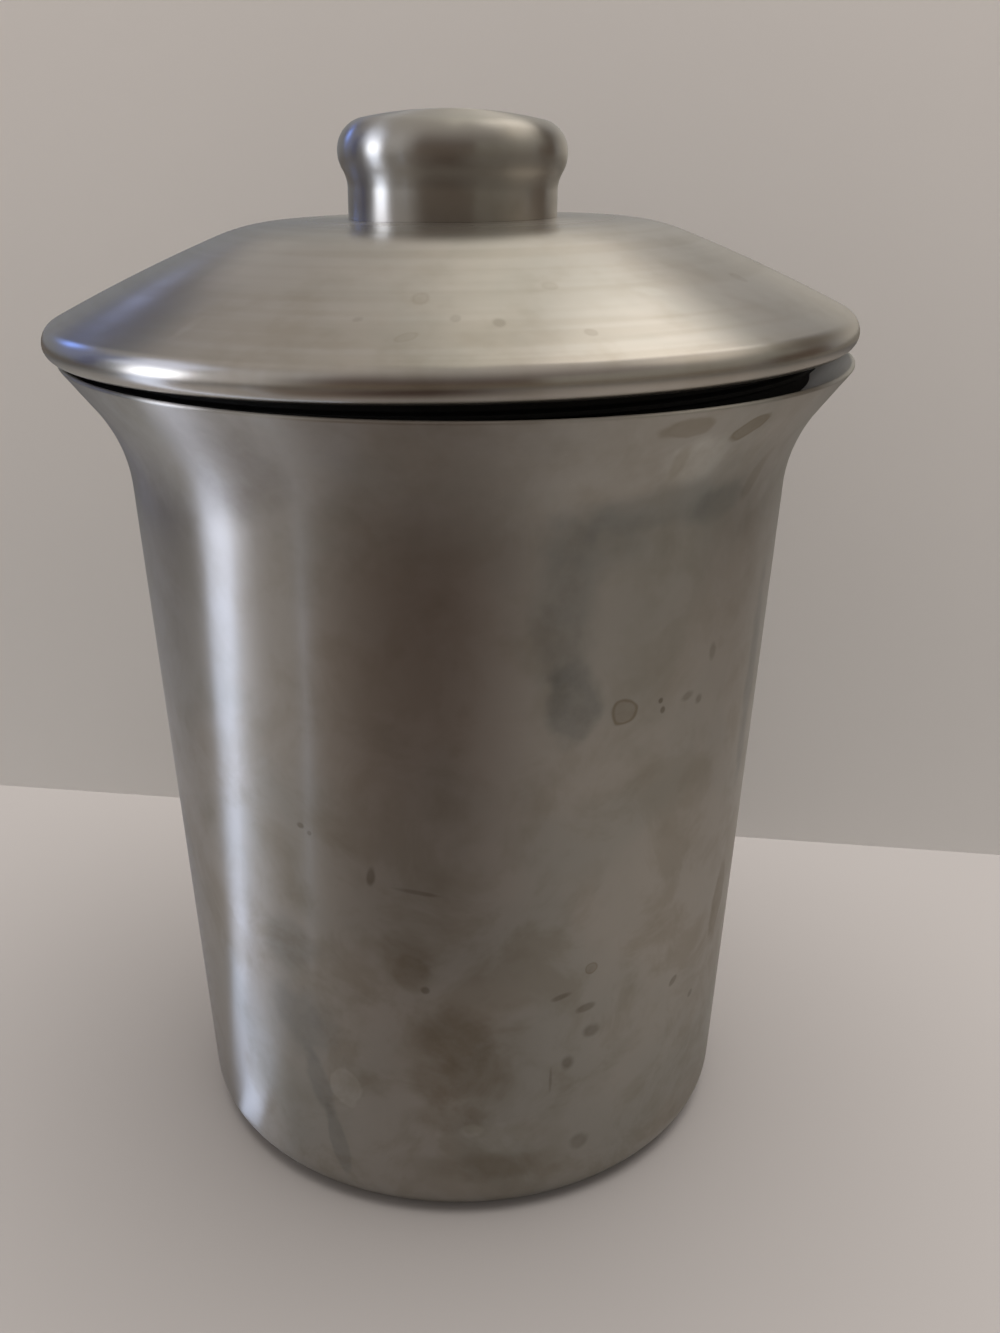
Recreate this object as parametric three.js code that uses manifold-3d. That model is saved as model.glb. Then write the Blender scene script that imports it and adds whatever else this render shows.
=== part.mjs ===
// Stainless steel coffee canister with a flared mouth and a sealed lift-off lid.
// Millimetres, +Z up, origin on the surface it stands on, on the canister's axis.
// Every shell is a revolved profile whose two skins come from one function of its inset.
import * as THREE from "three";
import { mergeVertices } from "three/addons/utils/BufferGeometryUtils.js";
import Module from "manifold-3d";

// Canister body: a drawn can whose straight wall runs tangent into a spun flare.
const canHeight = 151;
const rimRadius = 69.6;
const footRadius = 52.7;
const canWall = 0.8;
const footCorner = 6.5;
const footBand = 4.5;
const baseRecess = 1.6;
const baseRamp = 3;
const flareRadius = 27;
const flareRun = 8;
const flareAngle = 37.2;

// Lid shell: flat knob seat, low crown, shoulder, long skirt and a rolled edge.
const edgeRise = 3.8;
const lidOverhang = 1.25;
const lidWall = 0.7;
const knobSeatMargin = 1.3;
const crownWidth = 11.3;
const crownAngle = 3;
const shoulderWidth = 10;
const skirtTopAngle = 21.5;
const skirtEdgeAngle = 27.2;
const edgeRadius = 3.4;
const curlRadius = 2.5;

// How the lid sits in the photograph: a little to one side and tipped on its seal.
const lidShift = 0.95;
const lidSideAngle = 0.85;
const lidFrontAngle = 0.5;

// Lid liner: the pressed pan whose flange is held in the rolled edge.
const linerWall = 0.6;
const plugCorner = 2;
const beadReach = 0.9;
const beadHeight = 2.4;
const linerPanelBand = 13.7;
const linerPanelRise = 1.2;
const linerPanelRamp = 2.5;

// Seal ring: a rubber collar round the plug with lips that bear on the flare.
const sealLips = 3;
const sealThickness = 3.85;
const sealNeckHeight = 2.5;
const lipPitch = 2.8;
const lipReach = 1.3;
const lipTipHeight = 0.7;
const lowLipRise = 1.3;
const sealAngle = 25;

// Knob: a hollow shell, a straight neck that swells to a bulge under a low crown.
// It leans a little on its neck, and the lid's wide hole lets it sit off the middle.
const neckRadius = 18.2;
const neckHeight = 4.6;
const knobSwell = 1.65;
const swellHeight = 6.15;
const shoulderRadius = 5.45;
const knobCrownRise = 1.5;
const knobWall = 0.8;
const knobShift = 0.3;
const knobLeanAngle = 1.2;

// Knob insert and the fastener that pulls the knob down on the lid.
const insertThickness = 3;
const collarWall = 2.85;
const collarRise = 5.35;
const screwRadius = 2.5;
const screwReach = 9;
const screwHeadRadius = 4.75;
const screwHeadHeight = 3.3;
const screwHeadRound = 1.2;
const recessWidth = 1.1;
const recessSpan = 5;
const recessDepth = 1.7;
const washerRadius = 7.5;
const washerThickness = 1.2;
const lockWasherRadius = 4.4;
const lockWasherThickness = 1.2;
const lockWasherSplit = 0.8;
const lockWasherAngle = 20;

// Clearances.
const seatGap = 0.15;
const sealGap = 0.3;
const hemGap = 1.8;
const screwGap = 0.15;
const lidHoleGap = 0.5;
const cutOverrun = 1;

// Facets round each piece and along its arcs.
const canFacets = 48;
const knobFacets = 40;
const smallFacets = 24;
const wideArcSteps = 7;
const arcSteps = 4;

const degree = Math.PI / 180;
const quarter = Math.PI / 2;

const wasm = await Module();
wasm.setup();

// Points on an arc; angles run from the +r direction towards +z.
function arc([r, z], radius, from, to, steps) {
  return Array.from({ length: steps + 1 }, (_, i) => {
    const angle = from + ((to - from) * i) / steps;
    return [r + radius * Math.cos(angle), z + radius * Math.sin(angle)];
  });
}

// Position-only geometry with its shared vertices merged.
function welded(geometry) {
  geometry.deleteAttribute("normal");
  geometry.deleteAttribute("uv");
  return mergeVertices(geometry);
}

// A profile of [r, z] points turned round the Z axis.
function revolved(profile, facets) {
  const points = profile.map(([r, z]) => new THREE.Vector2(r, z));
  return welded(new THREE.LatheGeometry(points, facets).rotateX(quarter));
}

// A sheet between two skins: up the outer one and back down the inner one.
// A sheet that doesn't reach the axis at both ends is closed into a ring.
function sheet(outer, inner, facets) {
  const profile = [...outer, ...inner.toReversed()];
  const onAxis = profile[0][0] === 0 && profile.at(-1)[0] === 0;
  return revolved(onAxis ? profile : [...profile, profile[0]], facets);
}

function solidOf(geometry) {
  const mesh = new wasm.Mesh({
    numProp: 3,
    vertProperties: geometry.attributes.position.array,
    triVerts: new Uint32Array(geometry.index.array),
  });
  return new wasm.Manifold(mesh);
}

function geometryOf(solid) {
  const mesh = solid.getMesh();
  const geometry = new THREE.BufferGeometry();
  geometry.setAttribute("position", new THREE.BufferAttribute(mesh.vertProperties, 3));
  geometry.setIndex(new THREE.BufferAttribute(mesh.triVerts, 1));
  return geometry;
}

// Canister body.

const flare = flareAngle * degree;

// The lip's round edge, and where the outer skin runs into it.
const lipCentre = [rimRadius - canWall / 2, canHeight - canWall / 2];
const lipRadius = lipCentre[0] + (canWall / 2) * Math.cos(flare);
const lipHeight = lipCentre[1] - (canWall / 2) * Math.sin(flare);

// The flare's bend hangs from the lip by its straight run, and the wall is the line from the
// foot that touches it.
const flareCentre = [
  lipRadius - flareRun * Math.sin(flare) + flareRadius * Math.cos(flare),
  lipHeight - flareRun * Math.cos(flare) - flareRadius * Math.sin(flare),
];
const footToCentre = Math.hypot(flareCentre[0] - footRadius, flareCentre[1]);
const taper =
  Math.atan2(flareCentre[0] - footRadius, flareCentre[1]) - Math.asin(flareRadius / footToCentre);

// One skin of the can, from the base's centre to the end of the flare's bend.
function canSkin(inset) {
  const cornerCentre = [
    footRadius + footCorner * Math.tan(taper) - footCorner / Math.cos(taper),
    footCorner,
  ];
  const footInner = cornerCentre[0] - footBand;
  const corner = arc(cornerCentre, footCorner - inset, -quarter, -taper, arcSteps);
  const bend = arc(
    flareCentre,
    flareRadius + inset,
    Math.PI - taper,
    Math.PI - flare,
    wideArcSteps,
  );
  return [
    [0, baseRecess + inset],
    [footInner - baseRamp, baseRecess + inset],
    [footInner, inset],
    ...corner,
    ...bend,
  ];
}

// Radius of the mouth's inner skin at a height above the flare's start.
function mouthRadius(height) {
  const radius = flareRadius + canWall;
  const bendTop = flareCentre[1] + radius * Math.sin(flare);
  const bendEnd = flareCentre[0] - radius * Math.cos(flare);
  if (height > bendTop) return bendEnd + (height - bendTop) * Math.tan(flare);
  const rise = (height - flareCentre[1]) / radius;
  return flareCentre[0] - radius * Math.cos(Math.asin(rise));
}

function makeCanisterBody() {
  const rimEdge = arc(lipCentre, canWall / 2, -flare, Math.PI - flare, arcSteps);
  return sheet([...canSkin(0), ...rimEdge], canSkin(canWall), canFacets);
}

// Lid shell. Its heights are measured from the rim's plane.

const lidRadius = rimRadius + lidOverhang;
const crown = crownAngle * degree;
const skirtTop = skirtTopAngle * degree;
const skirtEdge = skirtEdgeAngle * degree;

// Radius of the arc that turns from one slope to another over a width, and its drop.
function turn(width, slopeFrom, slopeTo) {
  const radius = width / (Math.sin(slopeTo) - Math.sin(slopeFrom));
  return { radius, drop: radius * (Math.cos(slopeFrom) - Math.cos(slopeTo)) };
}

const knobSeatRadius = neckRadius + knobSeatMargin;
const crownRadius = knobSeatRadius + crownWidth;
const shoulderEnd = crownRadius + shoulderWidth;
const edgeStart = lidRadius - edgeRadius * (1 - Math.sin(skirtEdge));
const crownTurn = turn(crownWidth, 0, crown);
const shoulderTurn = turn(shoulderWidth, crown, skirtTop);
const skirtTurn = turn(edgeStart - shoulderEnd, skirtTop, skirtEdge);
const lidRise =
  edgeRise + edgeRadius * Math.cos(skirtEdge) + skirtTurn.drop + shoulderTurn.drop + crownTurn.drop;

// Where the rolled edge holds the liner's flange.
const hemTop = edgeRise - curlRadius + lidWall;
const flangeUnder = hemTop + seatGap;
const flangeRadius = lidRadius - curlRadius;

// The seal hangs from the flange, and the bead and the plug's corner lie below it.
const sealTop = flangeUnder - seatGap;
const sealStack = lowLipRise + (sealLips - 1) * lipPitch + lipTipHeight + sealNeckHeight;
const sealFoot = sealTop - sealStack;
const beadMiddle = sealFoot - seatGap - beadHeight / 2;
const plugBottom = beadMiddle - beadHeight / 2 - plugCorner;

// The lowest lip clears the mouth by the seal gap with the lid tilted and shifted, and the
// plug carries the seal.
const lidLean = Math.hypot(lidSideAngle, lidFrontAngle) * degree;
const lidDrop = rimRadius * Math.sin(lidLean);
const lowLipHeight = sealFoot + lowLipRise;
const lowLipRadius = mouthRadius(canHeight + lowLipHeight - lidDrop) - lidShift - sealGap;
const sealBore = lowLipRadius - sealThickness;
const plugRadius = sealBore - seatGap;

// The three corners of a lip, which tapers to a blunt tip.
function sealLip(index) {
  const tip = lowLipRadius + index * lipPitch * Math.tan(sealAngle * degree);
  const height = lowLipHeight + index * lipPitch;
  return [
    [tip - lipReach, height - lipTipHeight],
    [tip, height - lipTipHeight / 2],
    [tip, height + lipTipHeight / 2],
  ];
}

const topLip = sealLip(sealLips - 1);
const sealShoulder = topLip[0][0];

// Points along a downward turn whose top skin starts at [r, z].
function turnPoints([r, z], { radius }, slopeFrom, slopeTo, inset, steps) {
  const centre = [r - radius * Math.sin(slopeFrom), z - radius * Math.cos(slopeFrom)];
  return arc(centre, radius - inset, quarter - slopeFrom, quarter - slopeTo, steps);
}

// One skin of the lid, from the screw hole to the end of the hem.
function lidSkin(inset) {
  const crownStart = [knobSeatRadius, lidRise];
  const shoulderStart = [crownRadius, lidRise - crownTurn.drop];
  const skirtStart = [shoulderEnd, shoulderStart[1] - shoulderTurn.drop];
  const edgeCentre = [lidRadius - edgeRadius, edgeRise];
  const curlCentre = [lidRadius - curlRadius, edgeRise];
  return [
    [screwRadius + lidHoleGap, lidRise - inset],
    ...turnPoints(crownStart, crownTurn, 0, crown, inset, 2),
    ...turnPoints(shoulderStart, shoulderTurn, crown, skirtTop, inset, arcSteps).slice(1),
    ...turnPoints(skirtStart, skirtTurn, skirtTop, skirtEdge, inset, arcSteps).slice(1),
    ...arc(edgeCentre, edgeRadius - inset, quarter - skirtEdge, 0, arcSteps).slice(1),
    ...arc(curlCentre, curlRadius - inset, 0, -quarter, arcSteps).slice(1),
    [sealShoulder + hemGap, edgeRise - curlRadius + inset],
  ];
}

function makeLidShell() {
  return sheet(lidSkin(0).toReversed(), lidSkin(lidWall).toReversed(), canFacets);
}

// The under and outer skin of the liner, from its centre to the flange's edge.
function linerSkin(inset) {
  const cornerCentre = [plugRadius - plugCorner, plugBottom + plugCorner];
  const wall = plugRadius - inset;
  const panelRadius = plugRadius - linerPanelBand;
  return [
    [0, plugBottom + linerPanelRise + inset],
    [panelRadius - linerPanelRamp, plugBottom + linerPanelRise + inset],
    [panelRadius, plugBottom + inset],
    ...arc(cornerCentre, plugCorner - inset, -quarter, 0, arcSteps),
    [wall + beadReach, beadMiddle],
    [wall, beadMiddle + beadHeight / 2],
    [wall, flangeUnder + inset],
    [flangeRadius, flangeUnder + inset],
  ];
}

function makeLidLiner() {
  return sheet(linerSkin(0), linerSkin(linerWall), canFacets);
}

function makeSealRing() {
  const lips = Array.from({ length: sealLips }, (_, index) => sealLip(index));
  const profile = [
    [sealBore, sealFoot],
    [lowLipRadius - 2 * lipReach, sealFoot],
    ...lips.flat(),
    [sealShoulder, topLip[0][1] + 2 * lipTipHeight],
    [sealShoulder, sealTop],
    [sealBore, sealTop],
    [sealBore, sealFoot],
  ];
  return revolved(profile, canFacets);
}

// Knob shell. Its heights are measured from the lid's knob seat.

const bulgeRadius = neckRadius + knobSwell;
const bulgeHeight = neckHeight + swellHeight;
const knobHeight = bulgeHeight + shoulderRadius + knobCrownRise;

// The neck meets the bulge in an S of two equal arcs, and the shoulder is tangent to the crown.
function knobSkin(inset) {
  const bend = (swellHeight * swellHeight + knobSwell * knobSwell) / (4 * knobSwell);
  const angle = Math.asin(swellHeight / 2 / bend);
  const neckCentre = [neckRadius + bend, neckHeight];
  const bulgeCentre = [bulgeRadius - bend, bulgeHeight];
  const shoulderCentre = [bulgeRadius - shoulderRadius, bulgeHeight];
  const top = shoulderRadius + knobCrownRise;
  const reach = shoulderCentre[0];
  const crownBend =
    (reach * reach + top * top - shoulderRadius * shoulderRadius) / (2 * knobCrownRise);
  const crownCentre = [0, knobHeight - crownBend];
  const meeting = Math.atan2(bulgeHeight - crownCentre[1], reach);
  const cap = arc(crownCentre, crownBend - inset, meeting, quarter, arcSteps);
  cap.splice(-1, 1, [0, knobHeight - inset]);
  return [
    [neckRadius - inset, -cutOverrun],
    ...arc(neckCentre, bend + inset, Math.PI, Math.PI - angle, arcSteps),
    ...arc(bulgeCentre, bend - inset, -angle, 0, arcSteps).slice(1),
    ...arc(shoulderCentre, shoulderRadius - inset, 0, meeting, arcSteps).slice(1, -1),
    ...cap,
  ];
}

// The shell leans to one side, and its neck is trimmed level with the lid's seat.
function makeKnobShell() {
  const whole = sheet(knobSkin(0), knobSkin(knobWall), knobFacets);
  whole.rotateY(knobLeanAngle * degree);
  return geometryOf(solidOf(whole).trimByPlane([0, 0, 1], seatGap));
}

// Knob insert: a plug pressed into the neck, with a threaded collar shown as a plain hole.
function makeKnobInsert() {
  const radius = neckRadius - knobWall - seatGap;
  const hole = screwRadius + screwGap;
  const plugTop = seatGap + insertThickness;
  return revolved(
    [
      [hole, seatGap],
      [radius, seatGap],
      [radius, plugTop],
      [hole + collarWall, plugTop],
      [hole + collarWall, plugTop + collarRise],
      [hole, plugTop + collarRise],
      [hole, seatGap],
    ],
    smallFacets,
  );
}

// The stack under the lid's top, from the sheet down.
const washerTop = -lidWall - seatGap;
const lockWasherTop = washerTop - washerThickness - seatGap;
const screwHeadTop = lockWasherTop - lockWasherThickness - seatGap;

function ring(inner, outer, top, thickness) {
  const bottom = top - thickness;
  return revolved(
    [
      [inner, bottom],
      [outer, bottom],
      [outer, top],
      [inner, top],
      [inner, bottom],
    ],
    smallFacets,
  );
}

function makeKnobWasher() {
  return ring(screwRadius + screwGap, washerRadius, washerTop, washerThickness);
}

function makeLockWasher() {
  const whole = ring(screwRadius + screwGap, lockWasherRadius, lockWasherTop, lockWasherThickness);
  const tall = (lockWasherThickness + cutOverrun) * 2;
  const split = new THREE.BoxGeometry(lockWasherSplit, lockWasherRadius + cutOverrun, tall);
  split.rotateY(lockWasherAngle * degree);
  const middle = lockWasherTop - lockWasherThickness / 2;
  split.translate(0, (lockWasherRadius + cutOverrun) / 2, middle);
  return geometryOf(solidOf(whole).subtract(solidOf(welded(split))));
}

function makeKnobScrew() {
  const headBottom = screwHeadTop - screwHeadHeight;
  const round = [screwHeadRadius - screwHeadRound, headBottom + screwHeadRound];
  const body = revolved(
    [
      [0, headBottom],
      ...arc(round, screwHeadRound, -quarter, 0, arcSteps),
      [screwHeadRadius, screwHeadTop],
      [screwRadius, screwHeadTop],
      [screwRadius, screwReach],
      [0, screwReach],
    ],
    smallFacets,
  );
  const tall = recessDepth + cutOverrun;
  const place = headBottom + recessDepth - tall / 2;
  const slot = new THREE.BoxGeometry(recessSpan, recessWidth, tall).translate(0, 0, place);
  const cross = new THREE.BoxGeometry(recessWidth, recessSpan, tall).translate(0, 0, place);
  const recess = solidOf(welded(slot)).add(solidOf(welded(cross)));
  return geometryOf(solidOf(body).subtract(recess));
}

// Materials.

const steel = { color: 0x9a958f, roughness: 0.34, metalness: 1 };
const plated = { color: 0xb4b6b8, roughness: 0.28, metalness: 1 };
const rubber = { color: 0x0b0b0c, roughness: 0.75, metalness: 0 };

function piece(name, geometry, finish) {
  geometry.computeVertexNormals();
  const mesh = new THREE.Mesh(geometry, new THREE.MeshStandardMaterial(finish));
  mesh.name = name;
  return mesh;
}

// Assembly.

const knob = new THREE.Group();
knob.position.set(knobShift, 0, lidRise);
knob.add(
  piece("knob_shell", makeKnobShell(), steel),
  piece("knob_insert", makeKnobInsert(), plated),
  piece("knob_washer", makeKnobWasher(), plated),
  piece("knob_lock_washer", makeLockWasher(), plated),
  piece("knob_screw", makeKnobScrew(), plated),
);

const lid = new THREE.Group();
lid.position.set(-lidShift, 0, canHeight);
lid.rotation.set(-lidFrontAngle * degree, -lidSideAngle * degree, 0);
lid.add(
  piece("lid_shell", makeLidShell(), steel),
  piece("lid_liner", makeLidLiner(), steel),
  piece("seal_ring", makeSealRing(), rubber),
  knob,
);

const canister = new THREE.Group();
canister.add(piece("canister_body", makeCanisterBody(), steel), lid);

export default canister;
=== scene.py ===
"""Coffee canister: a satin steel can with a flared mouth, under a domed lid with a hollow knob.

Each visible piece is a surface of revolution worked out from the canister's own sizes, in
millimetres, and stands for the frame's node of the same shape. The lid's pieces share the
lid's own place: a little to one side and tipped on its seal.
"""

import math

import bpy
import numpy as np
from mathutils import Matrix, Vector


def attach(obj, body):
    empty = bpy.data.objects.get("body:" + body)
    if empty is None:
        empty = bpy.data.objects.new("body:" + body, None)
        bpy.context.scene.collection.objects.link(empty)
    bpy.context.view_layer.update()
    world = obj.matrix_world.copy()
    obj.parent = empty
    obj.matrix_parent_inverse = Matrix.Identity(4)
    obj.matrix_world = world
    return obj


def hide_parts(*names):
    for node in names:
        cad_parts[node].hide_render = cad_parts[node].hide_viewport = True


MM = 0.001
AROUND = 192
LONGEST_STEP = 5.0
UV_NAME = "turn_and_run"

# Canister body.
CAN_HEIGHT = 151.0
RIM_RADIUS = 69.6
FOOT_RADIUS = 52.7
CAN_WALL = 0.8
FOOT_CORNER = 6.5
FOOT_BAND = 4.5
BASE_RECESS = 1.6
BASE_RAMP = 3.0
FLARE_RADIUS = 27.0
FLARE_RUN = 8.0
FLARE_ANGLE = 37.2

# Lid shell.
EDGE_RISE = 3.8
LID_OVERHANG = 1.25
LID_WALL = 0.7
KNOB_SEAT_MARGIN = 1.3
CROWN_WIDTH = 11.3
CROWN_ANGLE = 3.0
SHOULDER_WIDTH = 10.0
SKIRT_TOP_ANGLE = 21.5
SKIRT_EDGE_ANGLE = 27.2
EDGE_RADIUS = 3.4
CURL_RADIUS = 2.5
SCREW_HOLE = 3.0
LID_SHIFT = 0.95
LID_SIDE_ANGLE = 0.85
LID_FRONT_ANGLE = 0.5

# Lid liner.
LINER_WALL = 0.6
PLUG_CORNER = 2.0
BEAD_REACH = 0.9
BEAD_HEIGHT = 2.4
LINER_PANEL_BAND = 13.7
LINER_PANEL_RISE = 1.2
LINER_PANEL_RAMP = 2.5

# Seal ring.
SEAL_LIPS = 3
SEAL_THICKNESS = 3.85
SEAL_NECK_HEIGHT = 2.5
LIP_PITCH = 2.8
LIP_REACH = 1.3
LIP_TIP_HEIGHT = 0.7
LOW_LIP_RISE = 1.3
SEAL_ANGLE = 25.0
SEAT_GAP = 0.15
SEAL_GAP = 0.3
HEM_GAP = 1.8

# Knob shell.
NECK_RADIUS = 18.2
NECK_HEIGHT = 4.6
KNOB_SWELL = 1.65
SWELL_HEIGHT = 6.15
KNOB_SHOULDER = 5.45
KNOB_CROWN_RISE = 1.5
KNOB_WALL = 0.8
KNOB_SHIFT = 0.3
KNOB_LEAN_ANGLE = 1.2
NECK_FOOT = 0.02


# Profiles.


def arc(centre, radius, start, end, steps):
    """Points on a circle about centre, from one angle to another; 0 is outwards and 90 is up."""
    turns = np.radians(np.linspace(start, end, steps + 1))
    ring = np.column_stack([np.cos(turns), np.sin(turns)])
    return np.asarray(centre) + radius * ring


def joined(*runs):
    """The runs of points one after another, without the points that repeat."""
    points = np.vstack([np.asarray(run, float).reshape(-1, 2) for run in runs])
    kept = np.linalg.norm(np.diff(points, axis=0), axis=1) > 1e-6
    return points[np.concatenate([[True], kept])]


def eased(points, reach, steps=6):
    """The line with each inner corner drawn as a small curve.

    The curve is a quadratic Bezier on the corner and one point on either side of it, which is
    `reach` away, or 0.45 of that side where the side is short.
    """
    points = np.asarray(points, float)
    corner = points[1:-1]
    back = points[:-2] - corner
    ahead = points[2:] - corner
    back *= np.minimum(reach / np.linalg.norm(back, axis=1, keepdims=True), 0.45)
    ahead *= np.minimum(reach / np.linalg.norm(ahead, axis=1, keepdims=True), 0.45)
    share = np.linspace(0, 1, steps + 1)[None, :, None]
    curves = corner[:, None] + back[:, None] * (1 - share) ** 2 + ahead[:, None] * share**2
    return np.vstack([points[:1], curves.reshape(-1, 2), points[-1:]])


def distances(points):
    """How far along the line each of its points is."""
    steps = np.linalg.norm(np.diff(points, axis=0), axis=1)
    return np.concatenate([[0], np.cumsum(steps)])


def filled(points, longest=LONGEST_STEP):
    """The line with points added at even distances, so that no step is longer than `longest`."""
    along = distances(points)
    steps = np.linalg.norm(np.diff(points, axis=0), axis=1)
    counts = np.maximum(1, np.ceil(steps / longest).astype(int))
    place = np.concatenate([np.arange(count) for count in counts])
    wanted = np.repeat(along[:-1], counts) + place * np.repeat(steps / counts, counts)
    wanted = np.append(wanted, along[-1])
    return np.column_stack([np.interp(wanted, along, points[:, axis]) for axis in (0, 1)])


def turn(width, slope_from, slope_to):
    """Radius and drop of the arc that turns from one downward slope to another over a width."""
    start, end = math.radians(slope_from), math.radians(slope_to)
    radius = width / (math.sin(end) - math.sin(start))
    return radius, radius * (math.cos(start) - math.cos(end))


def turn_points(start, width, slope_from, slope_to, inset, steps):
    """Points along that arc, on a skin that lies `inset` below the one that starts at start."""
    radius, _ = turn(width, slope_from, slope_to)
    angle = math.radians(slope_from)
    centre = (start[0] - radius * math.sin(angle), start[1] - radius * math.cos(angle))
    return arc(centre, radius - inset, 90 - slope_from, 90 - slope_to, steps)


# Canister body: the flare's bend hangs from the lip by its straight run, and the wall is the
# line from the foot that touches it.

FLARE = math.radians(FLARE_ANGLE)
LIP_CENTRE = (RIM_RADIUS - CAN_WALL / 2, CAN_HEIGHT - CAN_WALL / 2)
FLARE_CENTRE = (
    LIP_CENTRE[0]
    + (CAN_WALL / 2 + FLARE_RADIUS) * math.cos(FLARE)
    - FLARE_RUN * math.sin(FLARE),
    LIP_CENTRE[1]
    - (CAN_WALL / 2 + FLARE_RADIUS) * math.sin(FLARE)
    - FLARE_RUN * math.cos(FLARE),
)
FOOT_TO_CENTRE = math.hypot(FLARE_CENTRE[0] - FOOT_RADIUS, FLARE_CENTRE[1])
TAPER = math.atan2(FLARE_CENTRE[0] - FOOT_RADIUS, FLARE_CENTRE[1]) - math.asin(
    FLARE_RADIUS / FOOT_TO_CENTRE
)


def can_skin(inset):
    """One skin of the can, from the base's centre to the end of the flare's bend."""
    corner_centre = (
        FOOT_RADIUS + FOOT_CORNER * math.tan(TAPER) - FOOT_CORNER / math.cos(TAPER),
        FOOT_CORNER,
    )
    foot_inner = corner_centre[0] - FOOT_BAND
    base = eased(
        [
            (0, BASE_RECESS + inset),
            (foot_inner - BASE_RAMP, BASE_RECESS + inset),
            (foot_inner, inset),
            (corner_centre[0], inset),
        ],
        1.2,
    )
    taper = math.degrees(TAPER)
    corner = arc(corner_centre, FOOT_CORNER - inset, -90, -taper, 18)
    bend = arc(FLARE_CENTRE, FLARE_RADIUS + inset, 180 - taper, 180 - FLARE_ANGLE, 24)
    return joined(base, corner, bend)


def can_profile():
    """The can's whole section: up the outer skin, over the rim and back down the inner skin."""
    rim = arc(LIP_CENTRE, CAN_WALL / 2, -FLARE_ANGLE, 180 - FLARE_ANGLE, 12)
    return joined(can_skin(0), rim, can_skin(CAN_WALL)[::-1])


def mouth_radius(height):
    """Radius of the mouth's inner skin at a height above the flare's start."""
    radius = FLARE_RADIUS + CAN_WALL
    bend_top = FLARE_CENTRE[1] + radius * math.sin(FLARE)
    if height > bend_top:
        bend_end = FLARE_CENTRE[0] - radius * math.cos(FLARE)
        return bend_end + (height - bend_top) * math.tan(FLARE)
    return FLARE_CENTRE[0] - radius * math.cos(math.asin((height - FLARE_CENTRE[1]) / radius))


# Lid shell, liner and seal. Their heights are measured from the rim's plane.

LID_RADIUS = RIM_RADIUS + LID_OVERHANG
KNOB_SEAT_RADIUS = NECK_RADIUS + KNOB_SEAT_MARGIN
CROWN_RADIUS = KNOB_SEAT_RADIUS + CROWN_WIDTH
SHOULDER_END = CROWN_RADIUS + SHOULDER_WIDTH
EDGE_START = LID_RADIUS - EDGE_RADIUS * (1 - math.sin(math.radians(SKIRT_EDGE_ANGLE)))
CROWN_DROP = turn(CROWN_WIDTH, 0, CROWN_ANGLE)[1]
SHOULDER_DROP = turn(SHOULDER_WIDTH, CROWN_ANGLE, SKIRT_TOP_ANGLE)[1]
SKIRT_DROP = turn(EDGE_START - SHOULDER_END, SKIRT_TOP_ANGLE, SKIRT_EDGE_ANGLE)[1]
LID_RISE = (
    EDGE_RISE
    + EDGE_RADIUS * math.cos(math.radians(SKIRT_EDGE_ANGLE))
    + SKIRT_DROP
    + SHOULDER_DROP
    + CROWN_DROP
)

# The seal hangs from the flange, and the bead and the plug's corner lie below it.
FLANGE_UNDER = EDGE_RISE - CURL_RADIUS + LID_WALL + SEAT_GAP
SEAL_TOP = FLANGE_UNDER - SEAT_GAP
SEAL_STACK = LOW_LIP_RISE + (SEAL_LIPS - 1) * LIP_PITCH + LIP_TIP_HEIGHT + SEAL_NECK_HEIGHT
SEAL_FOOT = SEAL_TOP - SEAL_STACK
BEAD_MIDDLE = SEAL_FOOT - SEAT_GAP - BEAD_HEIGHT / 2
PLUG_BOTTOM = BEAD_MIDDLE - BEAD_HEIGHT / 2 - PLUG_CORNER

# The lowest lip clears the mouth with the lid tilted and shifted, and the plug carries the seal.
LID_LEAN = math.radians(math.hypot(LID_SIDE_ANGLE, LID_FRONT_ANGLE))
LOW_LIP_HEIGHT = SEAL_FOOT + LOW_LIP_RISE
LOW_LIP_RADIUS = (
    mouth_radius(CAN_HEIGHT + LOW_LIP_HEIGHT - RIM_RADIUS * math.sin(LID_LEAN))
    - LID_SHIFT
    - SEAL_GAP
)
SEAL_BORE = LOW_LIP_RADIUS - SEAL_THICKNESS
PLUG_RADIUS = SEAL_BORE - SEAT_GAP
TOP_LIP_RADIUS = LOW_LIP_RADIUS + (SEAL_LIPS - 1) * LIP_PITCH * math.tan(math.radians(SEAL_ANGLE))
SEAL_SHOULDER = TOP_LIP_RADIUS - LIP_REACH


def lid_skin(inset):
    """One skin of the lid, from the screw hole to the end of the hem."""
    shoulder = (CROWN_RADIUS, LID_RISE - CROWN_DROP)
    skirt = (SHOULDER_END, shoulder[1] - SHOULDER_DROP)
    skirt_width = EDGE_START - SHOULDER_END
    edge_angle = SKIRT_EDGE_ANGLE
    return joined(
        (SCREW_HOLE, LID_RISE - inset),
        turn_points((KNOB_SEAT_RADIUS, LID_RISE), CROWN_WIDTH, 0, CROWN_ANGLE, inset, 8),
        turn_points(shoulder, SHOULDER_WIDTH, CROWN_ANGLE, SKIRT_TOP_ANGLE, inset, 12),
        turn_points(skirt, skirt_width, SKIRT_TOP_ANGLE, edge_angle, inset, 12),
        arc((LID_RADIUS - EDGE_RADIUS, EDGE_RISE), EDGE_RADIUS - inset, 90 - edge_angle, 0, 12),
        arc((LID_RADIUS - CURL_RADIUS, EDGE_RISE), CURL_RADIUS - inset, 0, -90, 14),
        (SEAL_SHOULDER + HEM_GAP, EDGE_RISE - CURL_RADIUS + inset),
    )


def lid_profile():
    """The lid's whole section, closed round the hem's end and the screw hole's edge."""
    outer = lid_skin(0)[::-1]
    inner = lid_skin(LID_WALL)
    return np.vstack([outer, inner, outer[:1]])


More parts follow.
